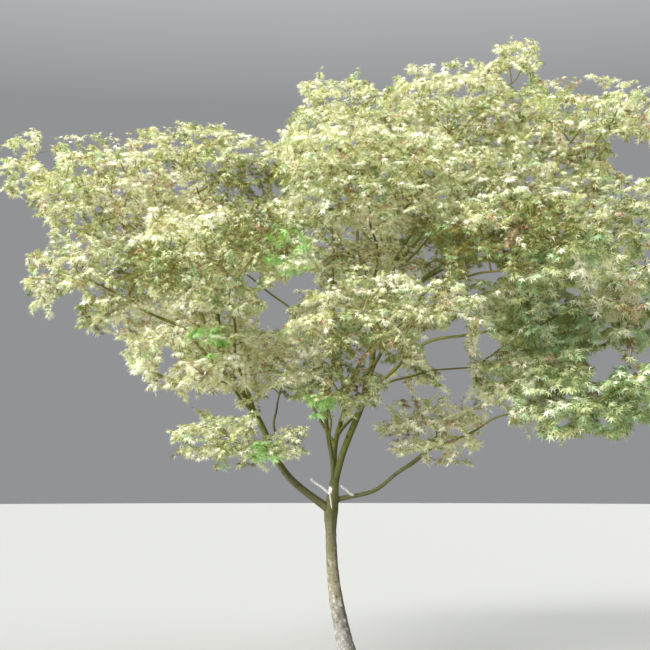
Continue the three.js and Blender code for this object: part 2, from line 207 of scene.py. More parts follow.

# %% [markdown]
# Bark
#
# The stems keep a thin, smooth bark: pale grey and blotched near the ground, khaki and then olive with
# a film of algae towards the fork, and yellow-green on the younger limbs. The olive by the fork is
# also darkened as painted shade under the crown. Fine cracks run along the wood, faint scars of old
# bud scales run round it, and the right side is painted darker, partly as shade and partly as damp
# bark. Every pattern is read from an attribute that holds the place around and along the limb, so it
# follows each bend and shows no seam.
#
# The colour is built up in layers, and a loop lays each over those before it. A layer shows
# where the values that it is read from have passed a smooth step: the height in metres, how far
# the surface faces right, or a noise between 0 and 1. Both numbers of a step are in its row.

# %% Bark material
GRAIN_PATTERNS = {  # stretch across and along the limb, width in metres, detail and roughness
    "cracks": ((1, 1, 0.09), 0.006, 5.0, 0.6),
    "blotches": ((1, 1, 0.7), 0.032, 6.0, 0.65),
    "patches": ((1, 1, 0.6), 0.11, 3.0, 0.6),
    "scars": ((0.12, 0.12, 1), 0.011, 2.0, 0.6),
    "torn rim": ((1, 1, 1), 0.012, 4.0, 0.5),
    "fibres": ((1, 1, 0.06), 0.0025, 3.0, 0.5),
}
BARK_GREY = "#86837b"  # by the ground
BARK_LAYERS = (  # colour, strength, and each step's value, start and end
    ("#847e63", 1.0, ("height", 0.3, 0.85)),  # khaki above the knee of the trunk
    ("#6c6a46", 1.0, ("height", 1.05, 1.35)),  # olive by the fork, darkened partly as painted shade under the crown
    ("#85863f", 1.0, ("height", 1.5, 1.85)),  # yellow-green high in the crown
    ("#6d7040", 1.0, ("height", 0.45, 1.3), ("patches", 0.46, 0.6)),  # green film of algae
    ("#45452e", 0.6, ("right", 0.0, 0.9)),  # painted shade on the right side, partly damp bark
    ("#bcb4ae", 1.0, ("height", 1.35, 0.5), ("blotches", 0.52, 0.66)),  # crust of lichen
    ("#4c4a34", 1.0, ("blotches", 0.46, 0.3)),  # dark blotches
    ("#4c4a34", 0.55, ("scars", 0.4, 0.24)),  # faint scars of bud scales
    ("#2c2719", 1.0, ("cracks", 0.42, 0.28)),  # fine cracks
)
WOOD_GREY = "#b9b3ae"  # bare wood, weathered
WOOD_WHITE = "#f4f1f0"
TEARS = (  # middle, half sizes and tilt in degrees of each tear, seen from the front
    ((-0.181, 1.452), (0.019, 0.032), 10),
    ((-0.172, 1.37), (0.0055, 0.062), -8),
)
TEAR_RIM = (1.62, 1.38)  # the rim's own noise is added before this step
TEAR_DEPTH = (-0.01, -0.03)  # only the front of the trunk is torn
TORN_FIBRES = (0.36, 0.5)  # where the noise goes over from grey to white
FAR_OFF = 100.0  # further out than any place on the trunk
CRACK_BUMP = {"Distance": 0.003, "Strength": 0.6}
BLOTCH_BUMP = {"Distance": 0.006, "Strength": 0.5}
BARK_ROUGHNESS = (0.95, 0.68)  # in the cracks, and between them


def along_grain(tree, pattern):
    """A noise in the wood's own directions: two around the limb, and the last one along it."""
    stretch, width, detail, roughness = GRAIN_PATTERNS[pattern]
    grain = add_node(tree, "Attribute", attribute_name="grain").outputs["Vector"]
    place = add_node(tree, "Mapping", {"Vector": grain, "Scale": stretch})
    look = {"Vector": place, "Scale": 1 / width, "Detail": detail, "Roughness": roughness}
    return add_node(tree, "TexNoise", look)


def lay_over(tree, colour, over, steps, strength=1.0):
    """The colour, going over to another one where every value has passed its smooth step."""
    for value, start, end in steps:
        step = {"Value": value, "From Min": start, "From Max": end}
        step = add_node(tree, "MapRange", step, interpolation_type="SMOOTHSTEP")
        strength = add_node(tree, "Math", {0: strength, 1: step}, operation="MULTIPLY")
    mix = add_node(tree, "Mix", {0: strength, 6: colour, 7: over}, data_type="RGBA")
    return mix.outputs[2]


def wood_fibres(tree, lines, start, end):
    """The colour of bare weathered wood: white with grey lines."""
    return lay_over(tree, linear(WOOD_GREY), linear(WOOD_WHITE), [(lines, start, end)])


def tear_distance(tree, place):
    """How far out a place lies in the nearest tear, made uneven for a rough rim."""
    nearest = FAR_OFF
    for (x, z), (across, up), tilt in TEARS:
        spot = {"Vector": place, "Location": (x, 0, z), "Scale": (across, 1, up)}
        spot["Rotation"] = (0, math.radians(tilt), 0)
        spot = add_node(tree, "Mapping", spot, vector_type="TEXTURE")
        far = add_node(tree, "VectorMath", {0: spot}, operation="LENGTH").outputs["Value"]
        nearest = add_node(tree, "Math", {0: nearest, 1: far}, operation="MINIMUM")
    return add_node(tree, "Math", {0: nearest, 1: along_grain(tree, "torn rim")}, operation="ADD")


def bark_colour(tree, values):
    """The colour of living bark, from the broad tones up to the fine cracks."""
    colour = linear(BARK_GREY)
    for hex_colour, strength, *steps in BARK_LAYERS:
        steps = [(values[name], start, end) for name, start, end in steps]
        colour = lay_over(tree, colour, linear(hex_colour), steps, strength)
    return colour


def bark_material(name, torn=False):
    """Living bark, thin and smooth: soft broad colour with fine cracks, and hardly any gloss."""
    material, tree = new_material(name)
    place = add_node(tree, "TexCoord").outputs["Object"]
    facing = add_node(tree, "NewGeometry").outputs["Normal"]
    values = {one: along_grain(tree, one) for one in ("cracks", "blotches", "patches", "scars")}
    values["height"] = add_node(tree, "SeparateXYZ", {"Vector": place}).outputs["Z"]
    # how far the surface faces right, for the painted shade on that side
    values["right"] = add_node(tree, "SeparateXYZ", {"Vector": facing}).outputs["X"]
    colour = bark_colour(tree, values)
    if torn:
        depth = add_node(tree, "SeparateXYZ", {"Vector": place}).outputs["Y"]
        steps = [(tear_distance(tree, place), *TEAR_RIM), (depth, *TEAR_DEPTH)]
        colour = lay_over(tree, colour, wood_fibres(tree, values["cracks"], *TORN_FIBRES), steps)
    rough, smooth = BARK_ROUGHNESS
    rough = {"Value": values["cracks"], "To Min": rough, "To Max": smooth}
    bump = add_node(tree, "Bump", {"Height": values["cracks"], **CRACK_BUMP})
    bump = add_node(tree, "Bump", {"Height": values["blotches"], "Normal": bump, **BLOTCH_BUMP})
    skin = {"Base Color": colour, "Normal": bump, "Specular IOR Level": 0.3}
    skin["Roughness"] = add_node(tree, "MapRange", rough)
    add_node(tree, "OutputMaterial", {"Surface": add_node(tree, "BsdfPrincipled", skin)})
    return material


BARK = bark_material("living maple bark")
TORN_BARK = bark_material("maple bark with a torn scar", torn=True)

# %% [markdown]
# Bleached wood
#
# Two limbs died back to stubs and lost their bark long ago. Sun and rain leave the bare wood
# silver-white, with fine grey lines along the grain.

# %% Bleached wood material
BARE_FIBRES = (0.32, 0.52)  # where the noise goes over from grey to white


def bleached_wood_material():
    """Bare weathered wood: nearly white, dry and dull, with grey grain lines."""
    material, tree = new_material("weathered bare wood")
    lines = along_grain(tree, "fibres")
    bump = add_node(tree, "Bump", {"Height": lines, "Distance": 0.002, "Strength": 0.6})
    skin = {"Base Color": wood_fibres(tree, lines, *BARE_FIBRES), "Roughness": 0.82, "Normal": bump}
    add_node(tree, "OutputMaterial", {"Surface": add_node(tree, "BsdfPrincipled", skin)})
    return material


BLEACHED = bleached_wood_material()

# %% [markdown]
# Leaves and young twigs
#
# The leaves are variegated, and from a few metres the crown is a mix of pale tints. Each tint
# is a plain colour with a soft gloss, dealt out to the lobes of the leaves further down. Young
# twigs are olive-brown with a smooth, faintly shining skin.

# %% Leaf and twig materials
LEAF_TINTS = {  # the skin's colour, the light that comes through, and roughness
    "cream leaf": ("#f7f8e6", "#eee9ac", 0.52),
    "pale yellow leaf": ("#e2e7b8", "#d8d678", 0.5),
    "grey-green leaf": ("#b4bd88", "#acb048", 0.48),
    "mint leaf": ("#bcd6aa", "#a8c068", 0.46),
    "leaf green": ("#7e945a", "#849640", 0.45),
    "olive leaf": ("#857e42", "#887c26", 0.5),
    "blush leaf": ("#c2a388", "#b68c52", 0.52),
    "bright green leaf": ("#c0e69c", "#b0da66", 0.42),
}
LEAF_THROUGH = 0.34  # share of the light that passes through a leaf
SKIN_GLOSS = 0.4
BRIGHT = list(LEAF_TINTS).index("bright green leaf")


def skin_material(name, hex_colour, through_hex, roughness):
    """A waxy skin with a soft gloss. Light from behind shines through a leaf yellower."""
    material, tree = new_material(name)
    skin = {"Base Color": linear(hex_colour), "Roughness": roughness}
    surface = add_node(tree, "BsdfPrincipled", skin | {"Specular IOR Level": SKIN_GLOSS})
    if through_hex:
        through = add_node(tree, "BsdfTranslucent", {"Color": linear(through_hex)})
        surface = add_node(tree, "MixShader", {0: LEAF_THROUGH, 1: surface, 2: through})
    add_node(tree, "OutputMaterial", {"Surface": surface})
    return material


LEAVES = [skin_material(name, *look) for name, look in LEAF_TINTS.items()]
TWIG = skin_material("young maple twig", "#857b3e", None, 0.62)
print(len(LEAVES), "leaf tints")

# %% [markdown]
# The limbs' middle lines
#
# Each limb of the frame curves from its root round a bend to its tip, with a slow wave, and a
# side bough carries on with its parent for a while before it arches over. The same rule is
# written again here, from the same sizes, so bark and shoots lie exactly where the solids are.

# %% Sizes of the trunk and limbs
HEAD_HEIGHT = 1.56
FORK_HEIGHT = 1.29
LEAN_REACH = 0.172
LEAN_HEIGHT = 0.48
LEAN_POWER = 1.5
TURN_HEIGHT = 1.19
HEAD_SHIFT = (0.03, -0.034)
FOOT_RADIUS = 0.074
STEM_RADIUS = 0.043
TAPER_HEIGHTS = (-0.3, 1.15)
FLARE_RADIUS = 0.044
FLARE_HEIGHT = 0.13
FLARE_RIDGES = 5
FLARE_EVEN = 0.7
FLARE_TURN = 0.8
SWELL_HEIGHT = 1.12
FORK_SWELL = 0.012
HEAD_RADIUS = 0.034

LIMB_TAPER_POWER = 0.8
SWAY = 0.022
SWAY_UPWARD = 0.6
SWAY_ACROSS = np.array((0.3, 0.9, 0.3))
WAVES = 1.5
LEADER_PHASE_STEP = 0.31
BOUGH_PHASE_STEP = 0.23
BOUGH_TIP = 0.007
BOUGH_TAPER = 0.55
BOUGH_STEP = 0.002
BEND_AT = 0.4
BEND_CARRY = 0.22
BEND_RISE = 0.1
ENTRY = 0.72
STUB_SAG = 0.08
STUB_TAPER = 0.7
UP = np.array((0.0, 0.0, 1.0))

# Leaders: height of the fork, point that bends the limb, mass at its end, and radii
LEADERS = {
    "leader_left": (1.29, (-0.88, -0.13, 1.8), "left_mid_in", (0.033, 0.017)),
    "leader_main": (1.4, (0.13, -0.03, 2.68), "right_top", (0.029, 0.014)),
    "leader_mid": (1.33, (-0.18, -0.04, 2.05), "centre_mid", (0.022, 0.012)),
    "leader_back": (1.4, (-0.06, 0.62, 2.05), "back_mid", (0.028, 0.013)),
    "leader_right": (1.37, (0.32, -0.06, 1.46), "right_low_in", (0.021, 0.011)),
}

# Masses: centre and half sizes of the space, then the leader, or the bough of another mass,
# that its bough leaves, how far along, and its radius. A mass at a leader's end has no bough.
MASSES = {
    "left_mid_in": ((-1.12, -0.48, 3.18), (0.57, 0.6, 0.42)),
    "left_skirt": ((-0.85, -0.74, 1.86), (0.5, 0.43, 0.21), "left", 0.2, 0.013),
    "left_low_in": ((-0.59, -0.28, 2.36), (0.43, 0.47, 0.3), "left", 0.3, 0.013),
    "left_low_out": ((-1.2, -0.58, 2.47), (0.48, 0.54, 0.29), "left", 0.46, 0.015),
    "left_mid_out": ((-1.93, -0.21, 3.09), (0.62, 0.72, 0.37), "left", 0.62, 0.018),
    "left_upper_out": ((-2.01, 0.08, 3.86), (0.57, 0.76, 0.42), "left", 0.76, 0.018),
    "left_upper_in": ((-1.27, 0.26, 4.07), (0.64, 0.66, 0.43), "left", 0.86, 0.016),
    "left_tip": ((-2.66, 0.43, 4.17), (0.3, 0.38, 0.32), "left_upper_out", 0.3, 0.009),
    "front_left": ((-0.94, -1.38, 3.1), (0.64, 0.57, 0.38), "left", 0.54, 0.015),
    "centre_low": ((-0.18, -0.62, 2.25), (0.42, 0.4, 0.22), "mid", 0.22, 0.011),
    "centre_mid": ((-0.15, -0.25, 3.45), (0.57, 0.61, 0.39)),
    "crown_centre": ((-0.1, 0.11, 4.33), (0.62, 0.82, 0.46), "main", 0.4, 0.018),
    "front_tier": ((0.25, -1.34, 2.69), (0.77, 0.57, 0.32), "main", 0.22, 0.018),
    "front_high": ((0.1, -1.14, 3.77), (0.69, 0.62, 0.4), "main", 0.47, 0.014),
    "right_top": ((0.84, 0.16, 4.44), (0.75, 0.83, 0.45)),
    "top_spray": ((1.37, 0.1, 4.9), (0.33, 0.36, 0.25), "main", 0.88, 0.01),
    "right_upper_out": ((1.88, 0.02, 4.37), (0.63, 0.73, 0.38), "main", 0.66, 0.016),
    "right_upper_mid": ((0.95, -0.52, 3.73), (0.65, 0.65, 0.41), "main", 0.56, 0.013),
    "right_mid_out": ((1.92, -0.1, 3.6), (0.57, 0.74, 0.43), "main", 0.5, 0.016),
    "front_right": ((1.14, -1.34, 3.21), (0.64, 0.56, 0.37), "main", 0.36, 0.015),
    "right_mid_low": ((1.64, -0.6, 2.85), (0.72, 0.64, 0.42), "main", 0.29, 0.016),
    "right_low_in": ((0.72, -0.3, 1.94), (0.52, 0.43, 0.26)),
    "right_low_out": ((1.62, -0.9, 2.17), (0.64, 0.56, 0.32), "right", 0.7, 0.012),
    "back_low_left": ((-1.25, 0.9, 2.75), (0.72, 0.69, 0.41), "back", 0.3, 0.015),
    "back_low_right": ((1.09, 0.96, 2.7), (0.79, 0.69, 0.43), "back", 0.36, 0.015),
    "back_mid": ((-0.08, 1.4, 3.13), (0.76, 0.72, 0.46)),
    "back_high_left": ((-1.15, 1.05, 3.64), (0.76, 0.71, 0.45), "back", 0.52, 0.014),
    "back_high_right": ((0.98, 1.01, 3.68), (0.84, 0.73, 0.46), "back", 0.6, 0.015),
}

SPACES = {name: np.array(mass[:2]) for name, mass in MASSES.items()}

# Dead stubs: limb, how far along it, heading, length from the limb's middle, and radius
STUBS = {
    "dead_stub_left": ("trunk", 0.91, (-0.8, -0.2, 0.56), 0.225, 0.013),
    "dead_stub_right": ("leader_right", 0.2, (-0.72, -0.4, 0.56), 0.15, 0.011),
}

# %% [markdown]
# Points along a limb
#
# A limb is kept as points spaced evenly along its middle line, with a radius at its root and
# at its tip. NumPy works on whole rows of points at once.

# %% Middle lines
LINE_POINTS = 241


def unit(vectors):
    """Vectors of length one, for one vector or a row of them."""
    vectors = np.asarray(vectors, float)
    return vectors / np.maximum(np.linalg.norm(vectors, axis=-1, keepdims=True), 1e-12)


def smoothstep(x, low, high):
    """A smooth rise from 0 at low to 1 at high."""
    share = np.clip((np.asarray(x, float) - low) / (high - low), 0, 1)
    return share * share * (3 - 2 * share)


def norm(vectors):
    """The length of each vector in a row, or in many rows."""
    return np.linalg.norm(vectors, axis=-1)


def step_lengths(lines):
    return norm(np.diff(lines, axis=-2))


def read_line(line, places, wanted):
    """The points of a line at the wanted places, given the places of its own points."""
    return np.stack([np.interp(wanted, places, line[:, k]) for k in range(3)], axis=-1)


def arc(start, bend, end, share):
    """The curve that leaves its start towards the bend and comes from there to its end."""
    return (1 - share) ** 2 * start + 2 * share * (1 - share) * bend + share**2 * end


class Limb:
    """A middle line, a radius at its root and its tip, and how deep its root lies in its parent."""

    def __init__(self, line, radii, inside):
        far = np.concatenate([[0], np.cumsum(step_lengths(line))])
        self.line = read_line(line, far, np.linspace(0, far[-1], len(line)))
        self.length = step_lengths(self.line).sum()
        self.radii = radii
        self.inside = inside

    def at(self, share):
        count = len(self.line)
        return read_line(self.line, np.arange(count), np.asarray(share, float) * (count - 1))

    def along(self, share):
        step = 0.5 / (len(self.line) - 1)
        return unit(self.at(min(share + step, 1)) - self.at(max(share - step, 0)))

    def radius(self, share):
        first, last = self.radii
        return first + (last - first) * np.asarray(share, float) ** LIMB_TAPER_POWER


def curved_limb(root, bend, tip, radii, phase=0.0, inside=0.0):
    """A limb round a bend, with the frame's slow sideways wave."""
    share = np.linspace(0, 1, LINE_POINTS)[:, None]
    line = arc(root, bend, tip, share)
    side = unit(np.cross(unit(tip - root), SWAY_ACROSS))
    top = np.cross(side, unit(tip - root))
    reach = SWAY * step_lengths(line).sum() * np.sin(np.pi * share)
    turn = 2 * np.pi * (WAVES * share + phase)
    line = line + reach * np.sin(turn) * side + SWAY_UPWARD * reach * np.cos(turn) * top
    return Limb(line, radii, inside)


def trunk_point(height):
    """The trunk bends left as it rises, and its head turns back."""
    height = np.asarray(height, float)
    lean = -LEAN_REACH * (1 - np.exp(-((height / LEAN_HEIGHT) ** LEAN_POWER)))
    turn = smoothstep(height, TURN_HEIGHT, HEAD_HEIGHT)
    return np.stack([lean + HEAD_SHIFT[0] * turn, HEAD_SHIFT[1] * turn, height], axis=-1)


def trunk_radius(height, angle):
    """Taper from the foot, root flare in ridges, a swelling at the fork, then the head."""
    taper = FOOT_RADIUS + (STEM_RADIUS - FOOT_RADIUS) * smoothstep(height, *TAPER_HEIGHTS)
    ridges = FLARE_EVEN + (1 - FLARE_EVEN) * np.cos(FLARE_RIDGES * angle + FLARE_TURN)
    flare = FLARE_RADIUS * ridges * np.exp(-height / FLARE_HEIGHT)
    swell = FORK_SWELL * smoothstep(height, SWELL_HEIGHT, FORK_HEIGHT)
    slim = STEM_RADIUS + FORK_SWELL - HEAD_RADIUS
    return taper + flare + swell - slim * smoothstep(height, FORK_HEIGHT, HEAD_HEIGHT)


def entry_of(mass_name, start):
    """Where a limb enters the space of its mass."""
    centre, half = SPACES[mass_name]
    inward = unit(centre - start)
    return centre - inward * ENTRY / np.linalg.norm(inward / half)


# %% [markdown]
# Limbs in their order
#
# First the leaders, then the boughs in the order of the table, because a bough may leave another
# one. Each tip is compared with the box of its solid, as a proof that both rules agree.


# %% Grow the limbs
def bough_limb(index, mass_name, parent, share, radius):
    parent = LIMBS.get("leader_" + parent) or LIMBS["bough_" + parent]
    root = parent.at(share)
    tip = entry_of(mass_name, root)
    length = np.linalg.norm(tip - root)
    bend = root + BEND_AT * (tip - root) + BEND_CARRY * length * parent.along(share)
    bend = bend + BEND_RISE * length * UP
    thick = min(radius, parent.radius(share) - BOUGH_STEP)
    radii = (thick, max(BOUGH_TIP, BOUGH_TAPER * thick))
    return curved_limb(root, bend, tip, radii, BOUGH_PHASE_STEP * index, parent.radius(share))


LIMBS = {}
CARRIERS = {}  # the limb that carries each mass
for index, (name, (height, bend, mass_name, radii)) in enumerate(LEADERS.items()):
    bend = np.array(bend)
    tip = entry_of(mass_name, bend)
    phase = LEADER_PHASE_STEP * index
    limb = curved_limb(trunk_point(height), bend, tip, radii, phase, HEAD_RADIUS)
    LIMBS[name] = CARRIERS[mass_name] = limb
for index, (mass_name, (_, _, *bough)) in enumerate(MASSES.items()):
    if bough:
        limb = bough_limb(index, mass_name, *bough)
        LIMBS["bough_" + mass_name] = CARRIERS[mass_name] = limb

worst = 0
for limb_name, limb in LIMBS.items():
    low, high = (np.array(corner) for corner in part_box(limb_name))
    outside = np.maximum(low - limb.at(1), limb.at(1) - high).max()
    worst = max(worst, outside)
print(len(LIMBS), "limbs; the furthest tip lies", round(1000 * worst, 1), "mm outside its solid's box")

# %% [markdown]
# A sleeve of bark
#
# The wood of a limb is one closed sleeve: a circle at the root, extruded from ring to ring along
# the middle line, with both ends filled. A noise that is read around and along the limb then
# works in the relief: long shallow flutes like those of sinews, and smaller lumps.

# %% Sleeve helper
FLUTE_LENGTH = 0.45
FLUTES_AROUND = 1.3
LUMP_SIZE = 0.05


def ring_frames(centres):
    """A matrix for each ring, which turns a flat circle to lie across the middle line."""
    ways = [Vector(way) for way in unit(np.gradient(centres, axis=0))]
    turn = Vector((0, 0, 1)).rotation_difference(ways[0]).to_matrix()
    frames = []
    for k, centre in enumerate(centres):
        if k:
            turn = ways[k - 1].rotation_difference(ways[k]).to_matrix() @ turn
        frames.append(Matrix.Translation(centre) @ turn.to_4x4())
    return frames


def sleeve(frames, sides):
    """A closed tube of radius one metre, extruded from each frame to the next."""
    bm = bmesh.new()
    bmesh.ops.create_circle(bm, cap_ends=False, radius=1, segments=sides)
    bmesh.ops.transform(bm, matrix=frames[0], verts=bm.verts)
    rim = bm.edges[:]
    for before, after in zip(frames, frames[1:]):
        made = bmesh.ops.extrude_edge_only(bm, edges=rim)["geom"]
        rim = [one for one in made if isinstance(one, bmesh.types.BMEdge)]
        corners = [one for one in made if isinstance(one, bmesh.types.BMVert)]
        bmesh.ops.transform(bm, matrix=after @ before.inverted(), verts=corners)
    bmesh.ops.holes_fill(bm, edges=[edge for edge in bm.edges if edge.is_boundary], sides=0)
    bmesh.ops.recalc_face_normals(bm, faces=bm.faces)
    return bm


def relief(angle, along, radius, seed):
    """How far the flutes and the lumps stand out here, from -1 to 1."""
    around = Vector((math.cos(angle), math.sin(angle), 0))
    flute = noise.noise(around * FLUTES_AROUND + Vector((seed, 0, along / FLUTE_LENGTH)))
    lumps = noise.noise(around * (radius / LUMP_SIZE) + Vector((0, seed, along / LUMP_SIZE)))
    return flute, lumps


def link_piece(name, mesh, materials, smooth=False):
    """Makes the mesh an object that rides on the tree's body."""
    for material in materials:
        mesh.materials.append(material)
    if smooth:
        mesh.polygons.foreach_set("use_smooth", [True] * len(mesh.polygons))
    piece = placed(name, mesh)
    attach(piece, "root")
    return piece


def sleeve_piece(name, frames, sides, radius_at, lengths, look):
    """A sleeve whose rings take their radius, with the relief and the grain attribute."""
    material, seed, flute, lump = look
    bm = sleeve(frames, sides)
    bm.verts.ensure_lookup_table()
    grain = bm.verts.layers.float_vector.new("grain")
    for k, (ring, along) in enumerate(zip(frames, lengths)):
        back = ring.inverted()
        for vert in bm.verts[k * sides : (k + 1) * sides]:
            local = back @ vert.co
            angle = math.atan2(local.x, -local.y)
            radius = radius_at(k, angle)
            fluting, lumps = relief(angle, along, radius, seed)
            radius *= 1 + flute * fluting + lump * lumps
            vert.co = ring @ Vector((radius * math.sin(angle), -radius * math.cos(angle), 0))
            vert[grain] = (radius * math.sin(angle) + seed, -radius * math.cos(angle), along)
    return link_piece(name, mesh_of(name, bm), [material], smooth=True)


# %% [markdown]
# The trunk
#
# The trunk's rings stay level, so its foot is a flat cut at the ground. Its top closes over in
# a few rings, as a healed stump does among the leaders, and its bark has a scar on the front,
# where a dead limb tore it away.

# %% Trunk
TRUNK_SIDES = 56
TRUNK_RING = 0.008
TRUNK_LOOK = (TORN_BARK, 3.7, 0.16, 0.05)  # material, seed, and depths of flutes and lumps
HEAD_ROUND = 0.06  # the head rounds over within this height
HEAD_TIP = 0.05  # its last ring's share of the radius


def trunk_piece():
    heights = np.append(np.arange(0, HEAD_HEIGHT - 1e-6, TRUNK_RING), HEAD_HEIGHT - 1e-4)
    frames = [Matrix.Translation(centre) for centre in trunk_point(heights)]

    def radius_at(k, angle):
        left = max(HEAD_HEIGHT - heights[k], 0)
        rounding = math.sqrt(1 - (1 - min(left / HEAD_ROUND, 1)) ** 2)
        return float(trunk_radius(heights[k], angle)) * max(rounding, HEAD_TIP)

    piece = sleeve_piece("trunk_bark", frames, TRUNK_SIDES, radius_at, heights, TRUNK_LOOK)
    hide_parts("trunk")
    return len(piece.data.polygons)


print("trunk faces", trunk_piece())

# %% [markdown]
# Leaders and boughs
#
# A limb swells where it leaves its parent: the collar. Its sleeve starts inside the parent,
# so no gap shows at the fork, and ends where the shoots of its mass take over.

# %% Leaders and boughs
LIMB_RING = 0.014
LEAST_RINGS = 8
LEADER_LOOK = (24, 0.18)  # sides, and how much thicker the limb is at its collar
BOUGH_LOOK = (14, 0.45)
COLLAR_REACH = 2.2  # how far the collar reaches, over the limb's radius
LIMB_RELIEF = (0.11, 0.05)
LIMB_SEEDS = (5.1, 1.7)  # of the first limb, and the step from one to the next


def limb_piece(name, limb, seed):
    sides, collar = LEADER_LOOK if name in LEADERS else BOUGH_LOOK
    shares = np.linspace(0, 1, max(LEAST_RINGS, round(limb.length / LIMB_RING)) + 1)
    lengths = shares * limb.length

    def radius_at(k, angle):
        radius = float(limb.radius(shares[k]))
        out = max(lengths[k] - limb.inside, 0)
        return radius * (1 + collar * math.exp(-out / (COLLAR_REACH * radius)))

    frames = ring_frames(limb.at(shares))
    look = (BARK, seed, *LIMB_RELIEF)
    piece = sleeve_piece(name + "_bark", frames, sides, radius_at, lengths, look)
    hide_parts(name)
    return len(piece.data.polygons)


limb_faces = 0
for number, (limb_name, limb) in enumerate(LIMBS.items()):
    limb_faces += limb_piece(limb_name, limb, LIMB_SEEDS[0] + LIMB_SEEDS[1] * number)
print("limb faces", limb_faces)

# %% [markdown]
# Dead stubs
#
# The stubs are the same sleeves in bleached wood, with deeper checks in their surface and a
# worn, slanting end.

# %% Dead stubs
STUB_SIDES = 20
STUB_RING = 0.005
STUB_FULL = 1.12  # makes up for what the checks take away
STUB_RELIEF = (0.2, 0.1)
STUB_END = 0.25  # share of the radius at the worn end
STUB_WEAR = (0.012, 0.01)  # how far back the wear reaches, and how much more on one side
STUB_SEED = 60.3


def stub_piece(name, seed):
    from_name, share, heading, length, radius = STUBS[name]
    root = trunk_point(share * HEAD_HEIGHT) if from_name == "trunk" else LIMBS[from_name].at(share)
    tip = root + unit(heading) * length
    bend = (root + tip) / 2 - STUB_SAG * length * UP
    limb = curved_limb(root, bend, tip, (radius, STUB_TAPER * radius))
    shares = np.linspace(0, 1, round(limb.length / STUB_RING))
    wear, slant = STUB_WEAR

    def radius_at(k, angle):
        left = (1 - shares[k]) * limb.length
        worn = min(1, STUB_END + left / (wear + slant * math.cos(angle)))
        return STUB_FULL * float(limb.radius(shares[k])) * worn

    look = (STUB_SIDES, radius_at, shares * limb.length, (BLEACHED, seed, *STUB_RELIEF))
    piece = sleeve_piece(name + "_wood", ring_frames(limb.at(shares)), *look)
    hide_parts(name)
    return len(piece.data.polygons)


for number, stub_name in enumerate(STUBS):
    print(stub_name, "faces", stub_piece(stub_name, STUB_SEED + number))

# %% [markdown]
# The space of each mass
#
# Each mass of shoots keeps to its own space, a rounded cushion, cut off by a flat wall wherever
# it would run into a neighbour's. The centres, sizes and walls are the frame's own, so the
# dressed crown has the outline and the gaps of the solids.

# %% Spaces
SPACE_GAP = 0.003
FULLNESS = 2.6  # 2 is an ellipsoid, and more is fuller towards the corners of its box
SEED_START = 0.37
SEED_STEP = 0.7548776662


class Mass:
    """The space, the seed and the carrying limb of one mass."""

    def __init__(self, name, index):
        self.name = name
        self.centre, self.half = SPACES[name]
        self.seed = (SEED_START + SEED_STEP * index) % 1
        self.limb = CARRIERS[name]
        self.ways, self.mosts = self.walls()

    def draw(self):
        """The mass's own random draw, the same every time."""
        return np.random.default_rng(int(self.seed * 1e6))

    def walls(self):
        """The flat walls towards its neighbours: which way each faces, and how far out it lies."""
        ways, mosts = [], []
        for name, (centre, half) in SPACES.items():
            if name == self.name:
                continue
            apart = np.linalg.norm(centre - self.centre)
            away = (centre - self.centre) / apart
            mine = np.linalg.norm(away * self.half)
            theirs = np.linalg.norm(away * half)
            if mine + theirs >= apart:
                ways.append(away)
                mosts.append(away @ self.centre + apart * mine / (mine + theirs) - SPACE_GAP)
        return np.array(ways).reshape(-1, 3), np.array(mosts)

    def holds(self, points, room=0):
        """Which of the points lie in the space, or at most some room outside it."""
        out = np.linalg.norm((points - self.centre) / (self.half + room), FULLNESS, axis=-1)
        return (out <= 1) & (points @ self.ways.T <= self.mosts + room).all(axis=-1)


CROWN = [Mass(name, index) for index, name in enumerate(MASSES)]
print(len(CROWN), "masses")

# %% [markdown]
# Openings
#
# At a few places one looks right through the crown. Each opening is an ellipse in the upright
# plane through the trunk, and a point in the crown is first carried along its line of sight to
# that plane. No shoot ends in an opening or crosses it, and no leaf hangs in it. Slow waves
# round its rim and a random share make it ragged.

# %% Openings
OPENINGS = (  # middle, then half sizes across and up
    ((-0.6, 2.96), (0.13, 0.19)),
    ((-0.38, 3.14), (0.09, 0.07)),
    ((-0.81, 3.17), (0.055, 0.055)),
    ((-0.59, 2.07), (0.22, 0.13)),
    ((-1.48, 2.49), (0.08, 0.1)),
    ((-2.48, 4.18), (0.06, 0.15)),
    ((-2.3, 2.92), (0.1, 0.12)),
    ((0.18, 2.49), (0.065, 0.09)),
    ((0.78, 2.56), (0.17, 0.26)),
    ((1.1, 2.63), (0.07, 0.12)),
    ((1.17, 1.88), (0.14, 0.2)),
    ((1.1, 3.22), (0.13, 0.055)),
    ((2.01, 2.45), (0.16, 0.09)),
    ((2.26, 4.19), (0.12, 0.15)),
    ((-0.66, 4.8), (0.3, 0.34)),
    ((1.34, 4.82), (0.08, 0.07)),
    ((1.6, 4.87), (0.06, 0.06)),
    ((1.98, 4.71), (0.11, 0.04)),
    ((1.08, 5.1), (0.13, 0.09)),
    ((1.64, 5.08), (0.11, 0.11)),
)
RAGGED = 0.5  # share of its size by which a rim moves at random
RIM_WAVES = ((2, 0.16), (3, 0.24), (5, 0.16))  # how many waves round the rim, and how high
RIM_TURN = 40.0  # so that no two openings have their waves at the same place


def in_plane(points):
    """Where the line of sight through each point meets the upright plane of the trunk."""
    eye = np.array(CAMERA_AT)
    seen = eye + (points - eye) * (-eye[1] / (points[:, 1:2] - eye[1]))
    return seen[:, [0, 2]]


def within(points, middle, half):
    """How far out each point appears in an ellipse, from 0 in its middle to 1 on its rim."""
    return norm((in_plane(points) - middle) / half)


